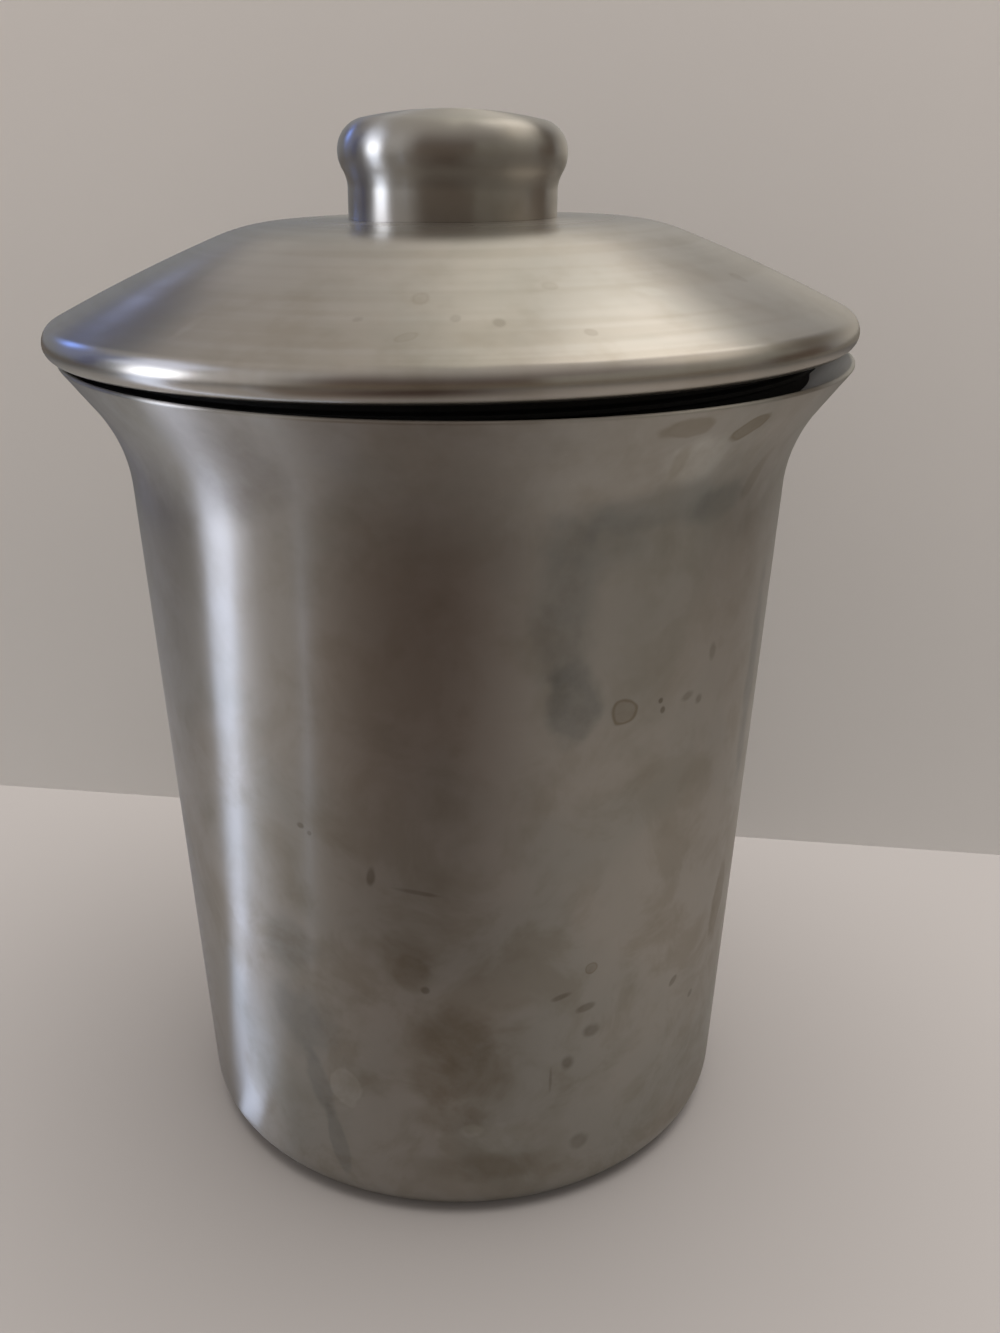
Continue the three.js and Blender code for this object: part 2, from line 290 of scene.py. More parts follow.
def liner_skin(inset):
    """One skin of the liner, from its centre to the edge of its flange."""
    wall = PLUG_RADIUS - inset
    panel_radius = PLUG_RADIUS - LINER_PANEL_BAND
    panel = eased(
        [
            (0, PLUG_BOTTOM + LINER_PANEL_RISE + inset),
            (panel_radius - LINER_PANEL_RAMP, PLUG_BOTTOM + LINER_PANEL_RISE + inset),
            (panel_radius, PLUG_BOTTOM + inset),
            (PLUG_RADIUS - PLUG_CORNER, PLUG_BOTTOM + inset),
        ],
        1.2,
    )
    corner_centre = (PLUG_RADIUS - PLUG_CORNER, PLUG_BOTTOM + PLUG_CORNER)
    corner = arc(corner_centre, PLUG_CORNER - inset, -90, 0, 12)
    bead = eased(
        [
            corner[-1],
            (wall + BEAD_REACH, BEAD_MIDDLE),
            (wall, BEAD_MIDDLE + BEAD_HEIGHT / 2),
            (wall, FLANGE_UNDER + inset),
            (LID_RADIUS - CURL_RADIUS, FLANGE_UNDER + inset),
        ],
        0.5,
    )
    return joined(panel, corner, bead)


def liner_profile():
    """The liner's whole section: out along its underside and back along its upper side."""
    return joined(liner_skin(0), liner_skin(LINER_WALL)[::-1])


def seal_profile():
    """The seal's closed section, a collar with blunt lips that step out up the mouth's slope."""
    index = np.arange(SEAL_LIPS)
    tips = LOW_LIP_RADIUS + index * LIP_PITCH * math.tan(math.radians(SEAL_ANGLE))
    heights = LOW_LIP_HEIGHT + index * LIP_PITCH
    lips = np.stack(
        [
            np.column_stack([tips - LIP_REACH, heights - LIP_TIP_HEIGHT]),
            np.column_stack([tips, heights - LIP_TIP_HEIGHT / 2]),
            np.column_stack([tips, heights + LIP_TIP_HEIGHT / 2]),
        ],
        axis=1,
    ).reshape(-1, 2)
    middle = (SEAL_FOOT + SEAL_TOP) / 2
    return eased(
        [
            (SEAL_BORE, middle),
            (SEAL_BORE, SEAL_FOOT),
            (LOW_LIP_RADIUS - 2 * LIP_REACH, SEAL_FOOT),
            *lips,
            (SEAL_SHOULDER, heights[-1] + LIP_TIP_HEIGHT),
            (SEAL_SHOULDER, SEAL_TOP),
            (SEAL_BORE, SEAL_TOP),
            (SEAL_BORE, middle),
        ],
        0.18,
        4,
    )


# Knob. Its heights are measured from the lid's knob seat.


def knob_skin(inset):
    """One skin of the knob: straight neck, S of two equal arcs, bulge, shoulder and low crown.

    The crown's arc is centred on the axis and tangent to the shoulder's.
    """
    bulge_radius = NECK_RADIUS + KNOB_SWELL
    bulge_height = NECK_HEIGHT + SWELL_HEIGHT
    bend = (SWELL_HEIGHT**2 + KNOB_SWELL**2) / (4 * KNOB_SWELL)
    angle = math.degrees(math.asin(SWELL_HEIGHT / 2 / bend))
    reach = bulge_radius - KNOB_SHOULDER
    top = KNOB_SHOULDER + KNOB_CROWN_RISE
    crown = (reach**2 + top**2 - KNOB_SHOULDER**2) / (2 * KNOB_CROWN_RISE)
    crown_centre = (0, bulge_height + top - crown)
    meeting = math.degrees(math.atan2(bulge_height - crown_centre[1], reach))
    cap = arc(crown_centre, crown - inset, meeting, 90, 14)
    cap[-1, 0] = 0
    return joined(
        (NECK_RADIUS - inset, NECK_FOOT),
        arc((NECK_RADIUS + bend, NECK_HEIGHT), bend + inset, 180, 180 - angle, 12),
        arc((bulge_radius - bend, bulge_height), bend - inset, -angle, 0, 12),
        arc((reach, bulge_height), KNOB_SHOULDER - inset, 0, meeting, 18),
        cap,
    )


def knob_profile():
    """The knob's whole section: down the outer skin and back up inside."""
    return np.vstack([knob_skin(0)[::-1], knob_skin(KNOB_WALL)])[::-1]


# Surfaces.


def lid_place(shift=0.0, height=0.0):
    """Where the lid's own frame is: turned about X and then Y, a little to the left of the axis."""
    tilt = Matrix.Rotation(math.radians(-LID_FRONT_ANGLE), 4, "X") @ Matrix.Rotation(
        math.radians(-LID_SIDE_ANGLE), 4, "Y"
    )
    seat = Matrix.Translation((-LID_SHIFT, 0, CAN_HEIGHT))
    return seat @ tilt @ Matrix.Translation((shift, 0, height))


def section_normals(profile, looped):
    """Outward directions at the profile's points: the sum of each one's two steps, turned by 90."""
    steps = np.diff(profile, axis=0)
    sides = np.column_stack([steps[:, 1], -steps[:, 0]])
    if looped:
        normals = sides + np.roll(sides, 1, axis=0)
    else:
        normals = np.vstack([sides, [0, 0]]) + np.vstack([[0, 0], sides])
    return normals / np.linalg.norm(normals, axis=1, keepdims=True)


def swept(pairs):
    """Each pair (r, z) as a ring of points (r cos t, r sin t, z) at AROUND equal angles t."""
    angle = np.linspace(0, 2 * math.pi, AROUND, endpoint=False)
    rings = np.empty((len(pairs), AROUND, 3))
    rings[:, :, 0] = pairs[:, :1] * np.cos(angle)
    rings[:, :, 1] = pairs[:, :1] * np.sin(angle)
    rings[:, :, 2] = pairs[:, 1:]
    return rings.reshape(-1, 3)


def band_faces(ring_count, band_from, band_to):
    """Quads between each ring and the next, and the turn and run at their corners.

    There is one band for each distance in `band_from`; the last one may lead back to ring 0.
    """
    rows = np.arange(len(band_from))
    column = np.arange(AROUND)[None, :]
    beside = (column + 1) % AROUND
    here = rows[:, None] * AROUND
    above = ((rows + 1) % ring_count)[:, None] * AROUND
    quads = np.stack([here + column, here + beside, above + beside, above + column], axis=-1)
    share = np.stack([column, column + 1, column + 1, column], axis=-1) / AROUND
    share = np.broadcast_to(share, (len(rows), AROUND, 4))
    run = np.stack([band_from, band_from, band_to, band_to], axis=-1)
    run = np.broadcast_to(run[:, None, :], (len(rows), AROUND, 4))
    corners = np.column_stack([share.reshape(-1), run.reshape(-1)])
    return quads.reshape(-1, 4).tolist(), corners


def cap_faces(ring_count, along):
    """Triangles that close the first and last ring on the axis, and the turn and run there.

    The two points on the axis come after all the rings.
    """
    around = np.arange(AROUND)
    onward = (around + 1) % AROUND
    last = (ring_count - 1) * AROUND
    foot = np.full(AROUND, ring_count * AROUND)
    top = foot + 1
    floor = np.column_stack([foot, onward, around])
    roof = np.column_stack([last + around, last + onward, top])
    start, middle, end = around / AROUND, (around + 0.5) / AROUND, (around + 1) / AROUND
    runs = [np.full(AROUND, along[index]) for index in (0, 1, -2, -1)]
    floor_map = np.stack([middle, runs[0], end, runs[1], start, runs[1]], axis=1)
    roof_map = np.stack([start, runs[2], end, runs[2], middle, runs[3]], axis=1)
    corners = np.vstack([floor_map.reshape(-1, 2), roof_map.reshape(-1, 2)])
    return floor.tolist() + roof.tolist(), corners


def turned(name, profile, place, lean=0.0):
    """A closed surface of revolution with smooth shading.

    A profile that starts and ends on the axis has one point at each end, and any other closes on
    itself. The UV map holds the turn as a share of a full one, and the distance along the profile
    in metres. Normals come from the profile, so that a straight wall stays straight beside a bend.
    With a lean, the piece is turned about Y by that many degrees, and the points of its lowest
    ring slide along the axis to where (r cos t, z) lies level with the foot: the trimmed neck.
    """
    profile = filled(profile)
    along = distances(profile)
    on_axis = bool(profile[0, 0] < 1e-6 and profile[-1, 0] < 1e-6)
    normals = section_normals(profile, not on_axis)
    if on_axis:
        rings = profile[1:-1]
        points = np.vstack([swept(rings), [0, 0, profile[0, 1]], [0, 0, profile[-1, 1]]])
        normals = np.vstack([swept(normals[1:-1]), [0, 0, -1], [0, 0, 1]])
        faces, corners = band_faces(len(rings), along[1:-2], along[2:-1])
        caps, cap_corners = cap_faces(len(rings), along)
        faces += caps
        corners = np.vstack([corners, cap_corners])
    else:
        rings = profile[:-1]
        points = swept(rings)
        normals = swept(normals)
        faces, corners = band_faces(len(rings), along[:-1], along[1:])
    if lean:
        leaned = math.radians(lean)
        foot = profile[:, 1].min()
        at_foot = points[:, 2] < foot + 1e-6
        points[at_foot, 2] = (foot + points[at_foot, 0] * math.sin(leaned)) / math.cos(leaned)
        place = place @ Matrix.Rotation(leaned, 4, "Y")
    turned_to = np.array(place.to_3x3())
    points = (points @ turned_to.T + np.array(place.translation)) * MM
    mesh = bpy.data.meshes.new(name)
    mesh.from_pydata(points.tolist(), [], faces)
    mesh.update()
    mesh.uv_layers.new(name=UV_NAME)
    corners = (corners * (1, MM)).astype(np.float32)
    mesh.uv_layers[0].data.foreach_set("uv", corners.ravel())
    mesh.polygons.foreach_set("use_smooth", np.ones(len(faces), dtype=bool))
    mesh.normals_split_custom_set_from_vertices((normals @ turned_to.T).tolist())
    made = bpy.data.objects.new(name, mesh)
    bpy.context.scene.collection.objects.link(made)
    return made


# Shader maths.


class Signal:
    """A shader socket that is added up like a number: each operator adds its Math node."""

    def __init__(self, paint, socket):
        self.paint = paint
        self.socket = socket

    def maths(self, operation, *values):
        """A Math node's result, from signals and numbers alike."""
        return self.paint.node(
            "ShaderNodeMath", {"operation": operation}, dict(enumerate(values))
        )

    def __add__(self, other):
        return self.maths("ADD", self, other)

    def __sub__(self, other):
        return self.maths("SUBTRACT", self, other)

    def __rsub__(self, other):
        return self.maths("SUBTRACT", other, self)

    def __mul__(self, other):
        return self.maths("MULTIPLY", self, other)

    def __truediv__(self, other):
        return self.maths("DIVIDE", self, other)

    def __neg__(self):
        return self.maths("MULTIPLY", self, -1.0)

    __radd__ = __add__
    __rmul__ = __mul__


# A Mix node's sockets for colours go by number, because their names repeat there.
MIX_SHARE, MIX_FIRST, MIX_SECOND, MIX_RESULT = 0, 6, 7, 2


class Paint:
    """One material's or one world's node tree."""

    def __init__(self, tree):
        self.tree = tree
        tree.nodes.clear()

    def node(self, kind, settings=None, values=None, output=0):
        """A node of this kind, with its settings made first, and its chosen output as a Signal."""
        made = self.tree.nodes.new(kind)
        for key, value in (settings or {}).items():
            setattr(made, key, value)
        for key, value in (values or {}).items():
            if isinstance(value, Signal):
                self.tree.links.new(value.socket, made.inputs[key])
            else:
                made.inputs[key].default_value = value
        return Signal(self, made.outputs[output]) if made.outputs else made

    def mixed(self, share, first, second):
        """The colour that is `share` of the way from the first to the second."""
        values = {MIX_SHARE: share, MIX_FIRST: full(first), MIX_SECOND: full(second)}
        return self.node("ShaderNodeMix", {"data_type": "RGBA"}, values, MIX_RESULT)

    def faded(self, share, colour, factors):
        """The colour, with each part multiplied by its factor where the share is 1."""
        values = {MIX_SHARE: share, MIX_FIRST: colour, MIX_SECOND: full(factors)}
        settings = {"data_type": "RGBA", "blend_type": "MULTIPLY"}
        return self.node("ShaderNodeMix", settings, values, MIX_RESULT)

    def place(self, output="Object"):
        """Where the point is: in metres for a piece or a sheet, and "Generated" for the world."""
        return self.node("ShaderNodeTexCoord", output=output)

    def ray(self, output):
        """1 where the light path's own output of this name holds, and 0 elsewhere."""
        return self.node("ShaderNodeLightPath", output=output)

    def vector(self, x, y, z):
        """A vector from its three parts."""
        return self.node("ShaderNodeCombineXYZ", None, {0: x, 1: y, 2: z})

    def parts(self, vector):
        """The three parts of a vector."""
        split = self.node("ShaderNodeSeparateXYZ", None, {0: vector}).socket.node
        return [Signal(self, socket) for socket in split.outputs]

    def eased_step(self, value, low, high, start=0.0, end=1.0):
        """Start below low, end above high, and a smooth S between them."""
        values = {0: value, 1: low, 2: high, 3: start, 4: end}
        return self.node("ShaderNodeMapRange", {"interpolation_type": "SMOOTHSTEP"}, values)

    def noise(self, vector, scale, detail=2.0, roughness=0.5, distortion=0.0):
        """Soft noise about 0.5, with `scale` to the unit that the vector is in."""
        values = {
            "Vector": vector,
            "Scale": scale,
            "Detail": detail,
            "Roughness": roughness,
            "Distortion": distortion,
        }
        return self.node("ShaderNodeTexNoise", None, values)

    def bump(self, height, distance, strength=1.0, normal=None):
        """The normal over a height of 0 to 1, which stands for `distance` in metres."""
        values = {"Height": height, "Distance": distance, "Strength": strength}
        if normal is not None:
            values["Normal"] = normal
        return self.node("ShaderNodeBump", None, values)


def full(colour):
    """A colour with its alpha, or a Signal as it is."""
    return colour if isinstance(colour, Signal) else (*colour, 1.0)


def new_material(name):
    """An empty material and the Paint for its nodes."""
    material = bpy.data.materials.new(name)
    material.use_nodes = True
    return material, Paint(material.node_tree)


def principled(paint, values):
    """A Principled shader with these values, on the material's output."""
    shader = paint.node("ShaderNodeBsdfPrincipled", None, values)
    paint.node("ShaderNodeOutputMaterial", None, {"Surface": shader})


# Materials.

STEEL = (0.50, 0.47, 0.435)
LID_STEEL = [part * 1.18 for part in STEEL]
KNOB_STEEL = [part * 1.15 for part in STEEL]

# Metres: the cylinder that the can's marks lie on, and how far the knob keeps the brush away.
MARK_CYLINDER = 0.057
KNOB_SHADOW = 0.021

# The flared mouth scatters more widely: the heights in metres over which that comes in, how much
# rougher it is there, and its anisotropy. MOUTH_LEAST is its share lower down.
MOUTH_START = 0.122
MOUTH_END = 0.133
MOUTH_ROUGHER = 0.068
MOUTH_SPREAD = 1.0
MOUTH_LEAST = 0.01

# What dried films do to the steel's colour.
BROWN = (0.68, 0.63, 0.55)
SLATE = (0.68, 0.705, 0.725)
DARK = (0.52, 0.49, 0.44)
PALE = (1.22, 1.25, 1.27)
DULL = (0.72, 0.70, 0.69)

# Dried water and grease on the can: bearing from the front in degrees, height, half width and
# half height in mm, turn in degrees, softness, strength inside, strength of the outline, and tone.
CAN_MARKS = [
    (26.7, 100.7, 2.4, 2.3, 10, 0.12, 0.50, 0.60, BROWN),
    (40.0, 146.3, 2.8, 1.7, 30, 0.15, 0.85, 0.30, BROWN),
    (28.5, 148.0, 3.6, 1.6, 0, 0.20, 0.65, 0.00, BROWN),
    (30.5, 142.0, 1.2, 2.6, 0, 0.40, 0.40, 0.00, BROWN),
    (50.5, 136.0, 1.6, 4.0, -25, 0.35, 0.45, 0.00, BROWN),
    (31.0, 134.3, 14.0, 3.4, 3, 0.45, 0.50, 0.00, SLATE),
    (34.0, 142.0, 5.0, 3.6, 0, 0.35, 0.80, 0.00, PALE),
    (43.0, 133.6, 6.0, 3.2, 8, 0.35, 0.55, 0.00, SLATE),
    (20.0, 131.0, 9.0, 5.0, 0, 0.50, 0.38, 0.00, SLATE),
    (15.5, 119.5, 4.6, 12.0, 0, 0.55, 0.60, 0.00, SLATE),
    (17.5, 103.7, 4.2, 7.0, 0, 0.28, 0.75, 0.00, SLATE),
    (64.0, 96.0, 2.6, 17.0, 0, 0.40, 0.75, 0.00, SLATE),
    (61.0, 51.0, 3.0, 9.0, -8, 0.20, 0.80, 0.00, BROWN),
    (-10.0, 57.0, 4.6, 5.2, 0, 0.35, 0.45, 0.00, BROWN),
    (-9.0, 54.0, 3.0, 3.6, 25, 0.25, 0.45, 0.05, BROWN),
    (-1.7, 41.0, 6.8, 6.2, 0, 0.35, 0.55, 0.00, BROWN),
    (-0.5, 36.0, 11.0, 10.0, 0, 0.60, 0.25, 0.00, BROWN),
    (-5.0, 31.5, 5.5, 5.0, 15, 0.35, 0.38, 0.00, BROWN),
    (4.5, 32.5, 4.0, 5.5, 0, 0.45, 0.35, 0.00, BROWN),
    (-3.2, 23.5, 6.5, 3.2, 0, 0.45, 0.45, 0.00, BROWN),
    (4.0, 11.5, 12.0, 2.8, 0, 0.60, 0.50, 0.00, BROWN),
    (24.3, 38.8, 1.7, 1.3, 0, 0.45, 0.65, 0.00, DARK),
    (22.9, 44.2, 1.8, 0.8, 10, 0.35, 0.60, 0.00, DARK),
    (23.5, 52.4, 1.3, 1.2, 0, 0.15, 0.45, 0.40, BROWN),
    (18.1, 47.8, 1.9, 0.6, 12, 0.40, 0.60, 0.00, DARK),
    (19.8, 33.0, 1.2, 1.5, 0, 0.50, 0.70, 0.00, DARK),
    (23.3, 13.9, 1.8, 1.6, 20, 0.40, 0.45, 0.00, DARK),
    (16.5, 30.0, 0.3, 2.4, 0, 0.50, 0.45, 0.00, DARK),
    (-22.7, 27.5, 3.3, 3.8, 15, 0.12, 0.55, 0.15, PALE),
    (-31.5, 39.0, 6.5, 7.0, 0, 0.50, 0.60, 0.00, SLATE),
    (-29.2, 27.5, 2.2, 7.5, 14, 0.30, 0.60, 0.00, SLATE),
    (-25.6, 14.0, 1.7, 7.5, 12, 0.25, 0.60, 0.00, SLATE),
    (-33.0, 55.0, 5.0, 6.0, 0, 0.50, 0.40, 0.00, SLATE),
    (30.0, 147.0, 62.0, 17.0, 0, 0.80, 0.72, 0.00, PALE),
    (-33.5, 141.0, 9.0, 9.0, 0, 0.50, 0.95, 0.00, DULL),
    (-52.0, 142.0, 9.0, 10.0, 0, 0.50, 0.90, 0.00, PALE),
    (1.6, 20.5, 1.8, 1.2, 0, 0.40, 0.80, 0.00, PALE),
    (7.0, 18.5, 4.5, 3.5, 0, 0.50, 0.50, 0.00, PALE),
    (-15.5, 73.1, 0.7, 1.8, -8, 0.40, 0.70, 0.00, DARK),
    (-7.1, 70.7, 3.5, 0.4, -8, 0.50, 0.50, 0.00, DARK),
    (-28.0, 80.4, 0.6, 0.5, 0, 0.40, 0.70, 0.00, DARK),
    (-26.4, 79.3, 0.4, 0.4, 0, 0.40, 0.60, 0.00, DARK),
    (-6.7, 51.2, 0.7, 0.7, 0, 0.40, 0.70, 0.00, DARK),
    (33.9, 101.4, 0.5, 0.5, 0, 0.40, 0.80, 0.00, DARK),
    (34.5, 99.6, 0.5, 0.6, 0, 0.40, 0.80, 0.00, DARK),
    (40.0, 100.6, 1.3, 0.7, 10, 0.50, 0.50, 0.00, DARK),
    (43.2, 99.2, 0.8, 0.8, 0, 0.50, 0.60, 0.00, DARK),
    (45.7, 107.2, 0.8, 1.4, 0, 0.50, 0.45, 0.00, DARK),
    (44.8, 41.5, 1.1, 0.7, 35, 0.30, 0.60, 0.00, DARK),
    (52.1, 35.0, 0.8, 0.6, 35, 0.30, 0.60, 0.00, DARK),
    (86.0, 118.0, 2.1, 2.4, 0, 0.12, 0.40, 0.50, BROWN),
    (98.0, 84.0, 7.0, 9.0, 0, 0.50, 0.50, 0.00, SLATE),
    (112.0, 46.0, 5.0, 6.0, 20, 0.35, 0.60, 0.00, BROWN),
    (118.0, 62.0, 1.2, 1.0, 0, 0.40, 0.70, 0.00, DARK),
    (134.0, 101.0, 3.0, 2.4, -15, 0.15, 0.45, 0.40, BROWN),
    (150.0, 72.0, 9.0, 5.0, 0, 0.50, 0.50, 0.00, BROWN),
    (158.0, 28.0, 2.6, 3.6, 0, 0.15, 0.50, 0.10, PALE),
    (-70.0, 60.0, 5.0, 10.0, 10, 0.50, 0.40, 0.00, SLATE),
    (-88.0, 97.0, 2.2, 2.0, 0, 0.12, 0.40, 0.50, BROWN),
    (-102.0, 40.0, 6.0, 5.0, 0, 0.40, 0.55, 0.00, BROWN),
    (-121.0, 120.0, 8.0, 3.5, -6, 0.35, 0.50, 0.00, SLATE),
    (-133.0, 66.0, 1.4, 1.8, 0, 0.30, 0.60, 0.00, DARK),
    (-155.0, 88.0, 6.0, 11.0, 0, 0.50, 0.50, 0.00, SLATE),
    (-160.0, 36.0, 3.4, 2.6, 20, 0.20, 0.50, 0.35, BROWN),
]

# The same on the lid, from above: x and y in mm instead of bearing and height.
LID_MARKS = [
    (-5.4, -54.2, 1.3, 1.6, 0, 0.20, 0.18, 0.22, BROWN),
    (5.4, -60.0, 0.9, 1.0, 0, 0.30, 0.35, 0.00, DARK),
    (-7.2, -63.0, 1.6, 0.8, 20, 0.20, 0.15, 0.25, BROWN),
    (18.0, -60.4, 0.9, 0.7, 0, 0.30, 0.25, 0.10, DARK),
    (-0.5, -59.2, 0.7, 0.8, 0, 0.30, 0.25, 0.00, DARK),
    (13.0, -50.0, 1.0, 0.8, 0, 0.30, 0.20, 0.20, BROWN),
    (-14.0, -58.0, 0.8, 0.6, 0, 0.30, 0.25, 0.00, DARK),
    (27.9, -46.3, 2.4, 1.2, 10, 0.40, 0.25, 0.00, PALE),
    (-38.4, -50.0, 3.0, 0.9, 40, 0.40, 0.35, 0.00, PALE),
    (44.0, -30.0, 1.4, 1.2, 0, 0.15, 0.25, 0.35, BROWN),
    (52.0, 14.0, 1.8, 1.5, 0, 0.15, 0.30, 0.35, BROWN),
    (-48.0, 20.0, 2.2, 1.8, 0, 0.20, 0.30, 0.30, BROWN),
    (-10.0, 50.0, 2.0, 1.7, 0, 0.15, 0.30, 0.35, BROWN),
    (26.0, 42.0, 5.0, 3.0, 20, 0.50, 0.40, 0.00, SLATE),
    (-36.0, 44.0, 1.0, 0.8, 0, 0.40, 0.60, 0.00, DARK),
]


def satin_steel(name, tint, roughness, spread, marks=(), around=0.0, worn=0.0):
    """Steel brushed round its axis, with lines along the turn, clouds and dried marks.

    With `around`, the piece is the can: its marks lie on a cylinder of that radius in metres, it
    is mottled, most of all low down, and its mouth scatters more widely. With `worn`, spun bands
    show, and the steel is duller within that many metres of the axis, where the brush can't reach
    past the knob. The can's roughness stays above 0.274, because the denoiser draws a jagged line
    where one wanders across that value.
    """
    material, paint = new_material(name)
    place = paint.place()
    x, y, z = paint.parts(place)
    turn_and_run = paint.node("ShaderNodeUVMap", {"uv_map": UV_NAME})
    _, run, _ = paint.parts(turn_and_run)

    def brushed(across, along, detail=2.0, grain=0.55):
        """Noise drawn out along the turn, with its scales across the axis and along the run."""
        stretched = paint.vector(x * across, y * across, run * along)
        return paint.noise(stretched, 1.0, detail, grain)

    lines = brushed(60.0, 2600.0, 3.0, 0.6)
    wide_lines = brushed(14.0, 420.0)
    cloud = paint.noise(place, 26.0, 4.0, 0.55, 0.4)
    fine_cloud = paint.noise(place, 110.0, 3.0, 0.6)
    greener = [part * factor for part, factor in zip(tint, (0.895, 0.92, 0.925))]
    colour = paint.mixed(paint.eased_step(cloud, 0.38, 0.64), tint, greener)
    share = paint.eased_step(fine_cloud, 0.45, 0.75) * 0.6
    colour = paint.faded(share, colour, (0.86, 0.84, 0.80))
    rough = roughness + (lines - 0.5) * 0.02 + (cloud - 0.5) * 0.03
    if worn:
        bands = brushed(7.0, 300.0)
        colour = paint.faded(paint.eased_step(bands, 0.42, 0.62), colour, (0.94, 0.93, 0.91))
        from_axis = x.maths("SQRT", x * x + y * y)
        dull = 1.0 - paint.eased_step(from_axis, worn, worn * 1.5)
        rough = rough + (bands - 0.5) * 0.10 + dull * 0.06
    if around:
        colour = mottled(paint, place, z, colour)
    if marks:
        colour = dried_marks(paint, place, colour, marks, around)
    normal = paint.bump(lines * 0.6 + wide_lines, 0.00004, 0.05)
    normal = paint.bump(paint.noise(place, 18.0, 1.0), 0.0006, 0.25, normal)
    values = {
        "Base Color": colour,
        "Metallic": 1.0,
        "Roughness": rough,
        "Anisotropic": spread,
        "Anisotropic Rotation": 0.25,
        "Normal": normal,
    }
    if around:
        at_mouth = {"Roughness": rough + MOUTH_ROUGHER, "Anisotropic": MOUTH_SPREAD}
        body = paint.node("ShaderNodeBsdfPrincipled", None, values)
        mouth = paint.node("ShaderNodeBsdfPrincipled", None, values | at_mouth)
        share = paint.eased_step(z, MOUTH_START, MOUTH_END, MOUTH_LEAST)
        shader = paint.node("ShaderNodeMixShader", None, {0: share, 1: body, 2: mouth})
        paint.node("ShaderNodeOutputMaterial", None, {"Surface": shader})
    else:
        principled(paint, values)
    return material


def mottled(paint, place, height, colour):
    """The colour with brown mottling, which thins out towards the mouth."""
    spots = paint.noise(place, 60.0, 4.0, 0.65, 0.5)
    lower = 1.0 - paint.eased_step(height, 0.05, 0.12) * 0.6
    share = paint.eased_step(spots, 0.44, 0.62) * lower * 0.8
    return paint.faded(share, colour, (0.84, 0.81, 0.76))


def dried_marks(paint, place, colour, marks, around):
    """The colour with each mark laid over it.

    The marks lie on a cylinder of radius `around`, unrolled, or flat as seen from above. A mark
    is an ellipse whose edge two noises push in and out: both lie about 0.5, and 0.95 is taken off
    so that their sum lies about zero. A third noise makes its inside patchy.
    """
    x, y, z = paint.parts(place)
    if around:
        flat = paint.vector(x.maths("ARCTAN2", x, -y) * around, z, 0.0)
    else:
        flat = paint.vector(x, y, 0.0)
    wobble = paint.noise(place, 130.0, 2.0) * 1.5 + paint.noise(place, 420.0, 1.0) * 0.4 - 0.95
    patchy = 0.55 + paint.noise(place, 330.0, 3.0, 0.65) * 0.9
    for across, up, half_width, half_height, turn_by, soft, inside, outline, tone in marks:
        middle = (math.radians(across) * around if around else across * MM, up * MM, 0.0)
        rotation = (0.0, 0.0, math.radians(turn_by))
        scale = (half_width * MM, half_height * MM, 1.0)
        values = {"Vector": flat, "Location": middle, "Rotation": rotation, "Scale": scale}
        local = paint.node("ShaderNodeMapping", {"vector_type": "TEXTURE"}, values)
        length = {"operation": "LENGTH"}
        edge = paint.node("ShaderNodeVectorMath", length, {0: local}, "Value") + wobble * 0.8
        within = 1.0 - paint.eased_step(edge, 1.0 - soft, 1.0 + soft)
        share = within * patchy * inside
        if outline:
            share = share + within * paint.eased_step(edge, 0.72, 0.94) * outline
        colour = paint.faded(share, colour, tone)
    return colour


def seal_rubber():
    """Matt black moulded rubber with a fine grain and a little dust."""
    material, paint = new_material("seal_rubber")
    place = paint.place()
    dust = paint.noise(place, 420.0, 3.0, 0.6)
    grain = paint.noise(place, 2600.0, 2.0, 0.5)
    share = paint.eased_step(dust, 0.5, 0.85) * 0.4
    colour = paint.mixed(share, (0.006, 0.006, 0.006), (0.03, 0.029, 0.027))
    principled(
        paint,
        {
            "Base Color": colour,
            "Roughness": 0.72 + (dust - 0.5) * 0.15,
            "Normal": paint.bump(grain, 0.00003, 0.5),
        },
    )
    return material


def plated_steel():
    """Bright zinc plate with faint crystals."""
    material, paint = new_material("plated_steel")
    place = paint.place()
    values = {"Vector": place, "Scale": 900.0}
    cells = paint.node("ShaderNodeTexVoronoi", None, values, "Color")
    shade = paint.parts(cells)[0]
    cloud = paint.noise(place, 300.0, 3.0)
    principled(
        paint,
        {
            "Base Color": paint.mixed(shade * 0.5, (0.70, 0.71, 0.72), (0.58, 0.59, 0.62)),
            "Metallic": 1.0,
            "Roughness": 0.22 + cloud * 0.16,
            "Normal": paint.bump(cloud, 0.00002, 0.4),
        },
    )
    return material


# Stage: pale table and wall, one soft lamp, and the room that shows in the steel.

